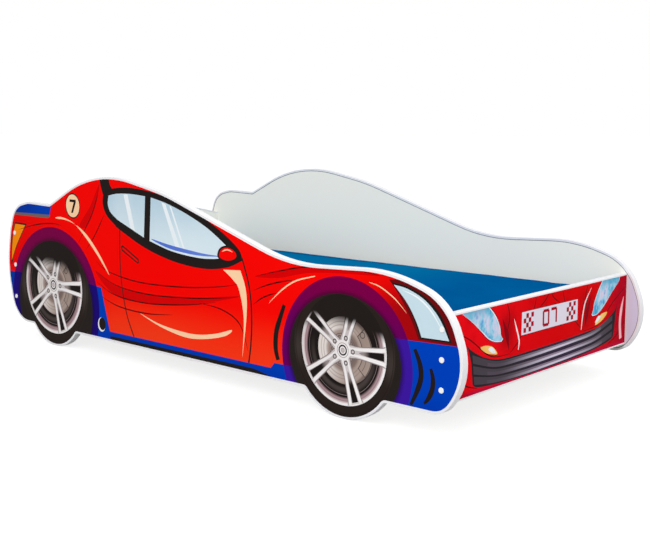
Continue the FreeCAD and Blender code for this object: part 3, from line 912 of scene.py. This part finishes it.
frontDrawing = {
    # drawn once and mirrored
    "creaseWidth": 2.6,
    "creases": [
        [(60, 272), (78, 230), (140, 172), (172, 152)],
        [(404, 240), (330, 206), (250, 158), (170, 151)],
        [(190, 272), (176, 236), (188, 196)],
        [(0, 272), (22, 252), (46, 240)],
        [(300, 96), (350, 112), (404, 150)],
    ],
    "hollow": [(206, 236), (190, 186), (176, 158), (178, 200)],
    "spark": [(-260, 176), (-248, 178.5), (-237, 171), (-231, 163), (-243, 164), (-255, 170)],
    # one for each half: the back and the inner edge of the lens, and the indicator
    "lenses": [
        ([(-362, 270), (-359, 265), (-326, 245), (-291, 220), (-261, 198), (-232, 187),
          (-208, 184)],
         [(-202, 189), (-211, 199), (-214, 215), (-227, 238), (-244, 256), (-262, 270)]),
        ([(362, 270), (357, 257), (337, 243), (314, 228), (287, 208), (259, 191), (236, 183),
          (214, 183)],
         [(211, 187), (219, 199), (222, 213), (231, 229), (246, 249), (266, 270)]),
    ],
    "lensEdges": (2.2, -2.6, 1.0),      # outside and inside the lens, and around the indicator
    "indicators": [
        [(-291, 183), (-273, 185), (-252, 181), (-236, 173), (-224, 159), (-243, 161), (-268, 168)],
        [(232, 157), (240, 169), (260, 180), (277, 183), (295, 182), (283, 171), (258, 161)],
    ],
    "streaks": [
        ("white", [(-157, 228), (-146, 204), (-134, 175), (-137, 154)], 5.0, (0.1, 0.5)),
        ("white", [(206, 256), (176, 224), (164, 191), (158, 156)], 5.0, (0.1, 0.5)),
        ("blush", [(388, 212), (376, 178), (371, 142), (377, 100)], 13.0, (0.08, 1.0)),
    ],
}


def grown(shape, by):
    # the shape's points moved away from its middle, or towards it where by is less than 0
    middle = [sum(point[k] for point in shape) / len(shape) for k in (0, 1)]
    moved = []
    for y, z in shape:
        dy, dz = y - middle[0], z - middle[1]
        long = math.hypot(dy, dz)
        moved.append((y + by * dy / long, z + by * dz / long))
    return moved


def mirrored(shape, sign):
    return [(sign * y, z) for y, z in shape]


def frontPatches():
    patches = []
    for number, sign in enumerate((-1, 1)):
        for crease in frontDrawing["creases"]:
            line = stroke(crease, frontDrawing["creaseWidth"], (0.3, 0.2))
            patches.append(("line", mirrored(line, sign)))
        patches.append(("deepShade", mirrored(frontDrawing["hollow"], sign)))
        back, inner = frontDrawing["lenses"][number]
        glass = smooth(back) + smooth(inner)
        amber = smooth(frontDrawing["indicators"][number], True)
        outside, inside, around = frontDrawing["lensEdges"]
        patches += [
            ("lensEdge", grown(glass, outside)), ("gleam", glass), ("frontLamp", grown(glass, inside)),
            ("lensEdge", grown(amber, around)), ("amber", amber),
            ("gleam", mirrored(smooth(frontDrawing["spark"], True, 4), -sign)),
        ]
    patches += strokes(frontDrawing["streaks"])
    return patches + grille() + platePatches()


# wide air intake with three rounded bars that follow its curve
intake = {
    "top": [(-346, 199), (-325, 183), (-279, 161), (-226, 147), (-167, 143), (-82, 143), (52, 144),
            (205, 147), (262, 152), (299, 163), (333, 178), (351, 192)],
    "bottom": [(344, 172), (336, 124), (320, 106), (237, 95), (120, 90), (0, 89), (-120, 89),
               (-240, 93), (-310, 101), (-321, 124), (-326, 156), (-337, 186)],
    # the highest and the lowest course that a bar could take
    "upper": [(-322, 176), (-226, 146), (-120, 142), (0, 142), (120, 144), (223, 149), (326, 174)],
    "lower": [(-312, 102), (-230, 93), (-120, 88), (0, 88), (120, 90), (237, 95), (326, 108)],
    "swell": [1.0, 1.0, 0.86, 0.74, 0.68, 0.80, 0.86],
    "bars": (0.18, 0.51, 0.83),
    "bar": (-0.13, 0.12),
    "gleam": (-0.02, 0.11),
    "gleamInset": 4,        # how many points the gleam stops short of the bar's ends
}


def grille():
    patches = [("grilleDark", smooth(intake["top"]) + smooth(intake["bottom"]))]

    def course(middle, offset):
        shares = [middle + offset * part for part in intake["swell"]]
        return smooth([(a[0] * (1 - t) + b[0] * t, a[1] * (1 - t) + b[1] * t)
                       for a, b, t in zip(intake["upper"], intake["lower"], shares)])

    for middle in intake["bars"]:
        upper, lower = (course(middle, offset) for offset in intake["bar"])
        patches.append(("grilleMid", upper + lower[::-1]))
        upper, lower = (course(middle, offset)[intake["gleamInset"]:-intake["gleamInset"]]
                        for offset in intake["gleam"])
        patches.append(("grilleLight", upper + lower[::-1]))
    return patches


sheet = {
    "depth": 0.15,          # millimetres, as all of these
    "side": 420.0,          # y of the side panels' outer and inner faces
    "inner": 402.0,
    "front": round(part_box("front_panel")[1].x / mm, 3),
    "lip": 4.8,             # width of the edging's lip
    "contour": 1.8,         # width of the painted shadow line beside it
    "flatness": 0.01,       # how far a face's corners may lie off its level
    "weld": 1e-4,           # distance at which two points of the drawing are one
}


def faceOutline(node, axis, level):
    # outer edge of the node's flat face at that level, in millimetres
    mesh = nodes[node].data
    corners = [tuple(round(value / mm, 3) for value in vertex.co) for vertex in mesh.vertices]
    edges = {}
    for face in mesh.polygons:
        ring = [corners[i] for i in face.vertices]
        if all(abs(corner[axis] - level) < sheet["flatness"] for corner in ring):
            for a, b in zip(ring, ring[1:] + ring[:1]):
                if (b, a) in edges:
                    del edges[(b, a)]
                else:
                    edges[(a, b)] = True
    follow = {a: b for a, b in edges}
    loops = []
    while follow:
        start, here = follow.popitem()
        loop = [start]
        while here != start:
            loop.append(here)
            here = follow.pop(here)
        loops.append([tuple(corner[k] for k in range(3) if k != axis) for corner in loop])
    return max(loops, key=len)


def covered(polygon, spots):
    # which spots lie inside the polygon, by winding number
    turns = np.zeros(len(spots), int)
    px, pz = spots[:, 0], spots[:, 1]
    for (x0, z0), (x1, z1) in zip(polygon, polygon[1:] + polygon[:1]):
        side = (x1 - x0) * (pz - z0) - (px - x0) * (z1 - z0)
        turns += ((z0 <= pz) & (z1 > pz) & (side > 0)).astype(int)
        turns -= ((z0 > pz) & (z1 <= pz) & (side < 0)).astype(int)
    return turns != 0


def printPanel(prefix, ground, outline, patches, spread):
    # each triangle of the panel's face goes to the topmost patch over it
    shapes = [outline] + [patch[1] for patch in patches]
    vertices, edges = [], []
    for shape in shapes:
        first = len(vertices)
        vertices += [Vector(point) for point in shape]
        edges += [(first + i, first + (i + 1) % len(shape)) for i in range(len(shape))]
    points, _, triangles, _, _, _ = delaunay_2d_cdt(vertices, edges, [], 0, sheet["weld"])
    flat = np.array([point[:] for point in points])
    spots = np.array([flat[list(face)].mean(axis=0) for face in triangles])
    inside = covered(outline, spots)
    finish = np.where(inside, ground, "").astype(object)
    for name, shape, *limits in patches:
        over = covered(shape, spots) & inside
        for limit in limits:
            over = over & covered(limit, spots)
        if name == "arch":
            finish[over & (finish == "blue")] = "archOnBlue"
            finish[over & (finish != "archOnBlue")] = "archOnRed"
        else:
            finish[over] = name
    used = sorted(set(finish) - {""})
    for name in used:
        mesh = bpy.data.meshes.new(f"{prefix}_{name}")
        shell = bmesh.new()
        corner = {}
        for face in [triangles[i] for i in np.nonzero(finish == name)[0]]:
            for i in face:
                if i not in corner:
                    corner[i] = shell.verts.new(spread(*flat[i]))
            shell.faces.new([corner[i] for i in face])
        bmesh.ops.dissolve_limit(shell, angle_limit=0.001, verts=shell.verts, edges=shell.edges)
        bmesh.ops.recalc_face_normals(shell, faces=shell.faces)
        shell.normal_update()
        outward = spread(0, 0) - spread(0, 0, 1)
        if sum(face.normal.dot(outward) * face.calc_area() for face in shell.faces) < 0:
            bmesh.ops.reverse_faces(shell, faces=shell.faces)
        shell.to_mesh(mesh)
        shell.free()
        piece = bpy.data.objects.new(f"{prefix}_{name}", mesh)
        bpy.context.scene.collection.objects.link(piece)
        mesh.materials.append(printFinishes[name])
        thick = piece.modifiers.new("thickness", "SOLIDIFY")
        thick.thickness = sheet["depth"] * mm
        thick.offset = -1
        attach(piece, "bed")
    print(prefix, len(triangles), "triangles in", len(used), "sheets")


# where a point of a print lies; depth is how far it lies under the sheet's outer face
def onRightSide(x, z, depth=0):
    return Vector((x, -sheet["side"] - sheet["depth"] + depth, z)) * mm


def onLeftSide(x, z, depth=0):
    return Vector((x, sheet["side"] + sheet["depth"] - depth, z)) * mm


def insideRight(x, z, depth=0):
    return Vector((x, sheet["depth"] - depth - sheet["inner"], z)) * mm


def insideLeft(x, z, depth=0):
    return Vector((x, sheet["inner"] - sheet["depth"] + depth, z)) * mm


def onFront(y, z, depth=0):
    return Vector((sheet["front"] + sheet["depth"] - depth, y, z)) * mm


def inset(outline, by):
    # the outline moved inwards, whichever way round it runs
    size = sum(a[0] * b[1] - b[0] * a[1] for a, b in zip(outline, outline[1:] + outline[:1]))
    inward = math.copysign(by, size)
    moved = []
    count = len(outline)
    for i, (x, z) in enumerate(outline):
        x0, z0 = outline[i - 1]
        x1, z1 = outline[(i + 1) % count]
        long = math.hypot(x1 - x0, z1 - z0)
        moved.append((x - (z1 - z0) / long * inward, z + (x1 - x0) / long * inward))
    return moved


def contour(edge):
    # painted shadow: a thin grey line where the edging's lip meets the white inner face, standing in
    # for the lip's shade
    return [("contour", inset(edge, sheet["lip"])), ("", inset(edge, sheet["lip"] + sheet["contour"]))]


sideEdge = faceOutline("right_side_panel", 1, -sheet["side"])
printPanel("right_print", "red", sideEdge, sidePatches(1), onRightSide)
printPanel("left_print", "red", sideEdge, sidePatches(-1), onLeftSide)
rightEdge = faceOutline("right_side_panel", 1, -sheet["inner"])
leftEdge = faceOutline("left_side_panel", 1, sheet["inner"])
# painted shadow lines beside the edging's lips on the side panels' inner faces
printPanel("right_contour", "", rightEdge, contour(rightEdge), insideRight)
printPanel("left_contour", "", leftEdge, contour(leftEdge), insideLeft)
low, high = (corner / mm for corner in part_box("front_panel"))
frontEdge = [(low.y, low.z), (high.y, low.z), (high.y, high.z), (low.y, high.z)]
printPanel("front_print", "frontRed", frontEdge, frontPatches(), onFront)


mattress = {
    "voxel": 8 * mm,
    "quickVoxel": 12 * mm,
    "pressure": 4.0,
    "frames": 20,
    "quality": 5,
    "cap": 6 * mm,          # how far a point may move from the core's skin
    "sideGap": 0.6 * mm,
    "loft": 8.5 * mm,       # how much the filling lifts the cover's upper half
    "wave": 1.6 * mm,
    "waveLine": (0.385, 0.05),      # from the middle, and its width to either side
    "ripples": ((17, 0, 1.1, 0.6), (41, 9, 0, 0.4)),
    "fold": 1.5 * mm,
    "foldLine": (0.360, 0.004, 23, 0.014),      # from the middle, its sway, how quick, its width
    "foldReach": (-0.12, 0.28),     # its middle and half its length
}


def loftAt(x, y, share):
    # slow waves along the edges, and a shallow fold in the cover a little inside them
    line, width = mattress["waveLine"]
    edge = max(0.0, 1 - abs(abs(y) - line) / width)
    wave = sum(math.sin(x * alongX + y * alongY + phase) * part
               for alongX, alongY, phase, part in mattress["ripples"])
    line, sway, turns, width = mattress["foldLine"]
    fold = math.exp(-((abs(y) - line - sway * math.sin(x * turns)) / width) ** 2)
    middle, reach = mattress["foldReach"]
    along = math.exp(-((x - middle) / reach) ** 2)
    return share * (mattress["loft"] + mattress["wave"] * wave * edge - mattress["fold"] * fold * along)


def settled(pad):
    # the mesh with its modifiers applied
    mesh = bpy.data.meshes.new_from_object(
        pad.evaluated_get(bpy.context.evaluated_depsgraph_get()))
    pad.modifiers.clear()
    pad.data = mesh


def paddedMattress():
    pad = bpy.data.objects.new("mattress_pad", nodes["mattress_core"].data.copy())
    bpy.context.scene.collection.objects.link(pad)
    bpy.context.view_layer.objects.active = pad
    remesh = pad.modifiers.new("remesh", "REMESH")
    remesh.mode = "VOXEL"
    remesh.voxel_size = mattress["voxel"]
    settled(pad)
    start = [vertex.co.copy() for vertex in pad.data.vertices]
    cloth = pad.modifiers.new("cloth", "CLOTH")
    cloth.settings.use_pressure = True
    cloth.settings.uniform_pressure_force = mattress["pressure"]
    cloth.settings.effector_weights.gravity = 0.0
    cloth.settings.quality = mattress["quality"]
    cloth.collision_settings.use_collision = False
    for number in range(1, mattress["frames"] + 1):
        bpy.context.scene.frame_set(number)
    settled(pad)
    bpy.context.scene.frame_set(1)
    low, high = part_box("mattress_cover")
    gap = mattress["sideGap"]
    for vertex, rest in zip(pad.data.vertices, start):
        move = vertex.co - rest
        if move.length > mattress["cap"]:
            vertex.co = rest + move.normalized() * mattress["cap"]
        vertex.co.x = min(max(vertex.co.x, low.x - gap), high.x + gap)
        vertex.co.y = min(max(vertex.co.y, low.y - gap), high.y + gap)
        share = min(max((vertex.co.z - low.z) / (high.z - low.z) * 2 - 1, 0.0), 1.0)
        vertex.co.z = max(vertex.co.z + loftAt(vertex.co.x, vertex.co.y, share), low.z)
    for face in pad.data.polygons:
        face.use_smooth = True
    finer = pad.modifiers.new("finer", "SUBSURF")
    finer.levels = finer.render_levels = 1
    pad.data.materials.clear()
    pad.data.materials.append(finishes["cotton"])
    return pad


pad = paddedMattress()
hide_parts("mattress_cover", "mattress_core")
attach(pad, "mattress")
print("mattress", len(pad.data.vertices), "vertices")


studio = {
    "ambient": 0.62,
    "aim": (0, 0, 0.25),
    "floor": tint(168, 168, 168),
    "floorReach": 60.0,
    "floorLift": 0.80,      # extra brightness of the floor for the camera alone
    "lamps": {
        "key": {"place": (1.6, -3.6, 2.4), "size": 3.0, "power": 100.0},
        "fill": {"place": (3.8, 0.3, 1.7), "size": 2.4, "power": 33.0},
        "top": {"place": (-0.2, 0.2, 3.4), "size": 3.4, "power": 20.0},
    },
}


def addLamp(name, lamp):
    data = bpy.data.lights.new(name, "AREA")
    data.size = lamp["size"]
    data.energy = lamp["power"]
    made = bpy.data.objects.new(name, data)
    made.location = Vector(lamp["place"])
    towards = Vector(studio["aim"]) - made.location
    made.rotation_euler = towards.to_track_quat("-Z", "Y").to_euler()
    bpy.context.scene.collection.objects.link(made)


def seenDirectly(tree):
    # 1 where a camera, mirror or glass ray meets the surface or the background
    camera, glossy, through = (
        tree.node("ShaderNodeLightPath", output=name)
        for name in ("Is Camera Ray", "Is Glossy Ray", "Is Transmission Ray"))
    return camera.maths("MAXIMUM", camera.maths("MAXIMUM", camera, glossy), through)


def addWorld():
    world = bpy.data.worlds.new("studio")
    bpy.context.scene.world = world
    world.use_nodes = True
    tree = NodeTree(world.node_tree)
    back = world.node_tree.nodes["Background"]
    back.inputs["Color"].default_value = (1, 1, 1, 1)
    strength = tree.node("ShaderNodeMapRange", None,
                         {"Value": seenDirectly(tree), "To Min": studio["ambient"], "To Max": 1.0})
    tree.join(strength, back.inputs["Strength"])


def addFloor():
    mesh = bpy.data.meshes.new("floor")
    reach = studio["floorReach"]
    mesh.from_pydata([(-reach, -reach, 0), (reach, -reach, 0), (reach, reach, 0), (-reach, reach, 0)],
                     [], [(0, 1, 2, 3)])
    floor = bpy.data.objects.new("floor", mesh)
    bpy.context.scene.collection.objects.link(floor)
    paint = Paint("paleFloor", Base_Color=studio["floor"], Roughness=0.9, Specular_IOR_Level=0.0)
    glow = paint.node("ShaderNodeEmission", None,
                      {"Strength": seenDirectly(paint) * studio["floorLift"]})
    both = paint.node("ShaderNodeAddShader", None, {0: Signal(paint, paint.shader.outputs[0]), 1: glow})
    paint.join(both, paint.tree.nodes["Material Output"].inputs["Surface"])
    mesh.materials.append(paint.material)


for name, lamp in studio["lamps"].items():
    addLamp(name, lamp)
addWorld()
addFloor()
print("studio")
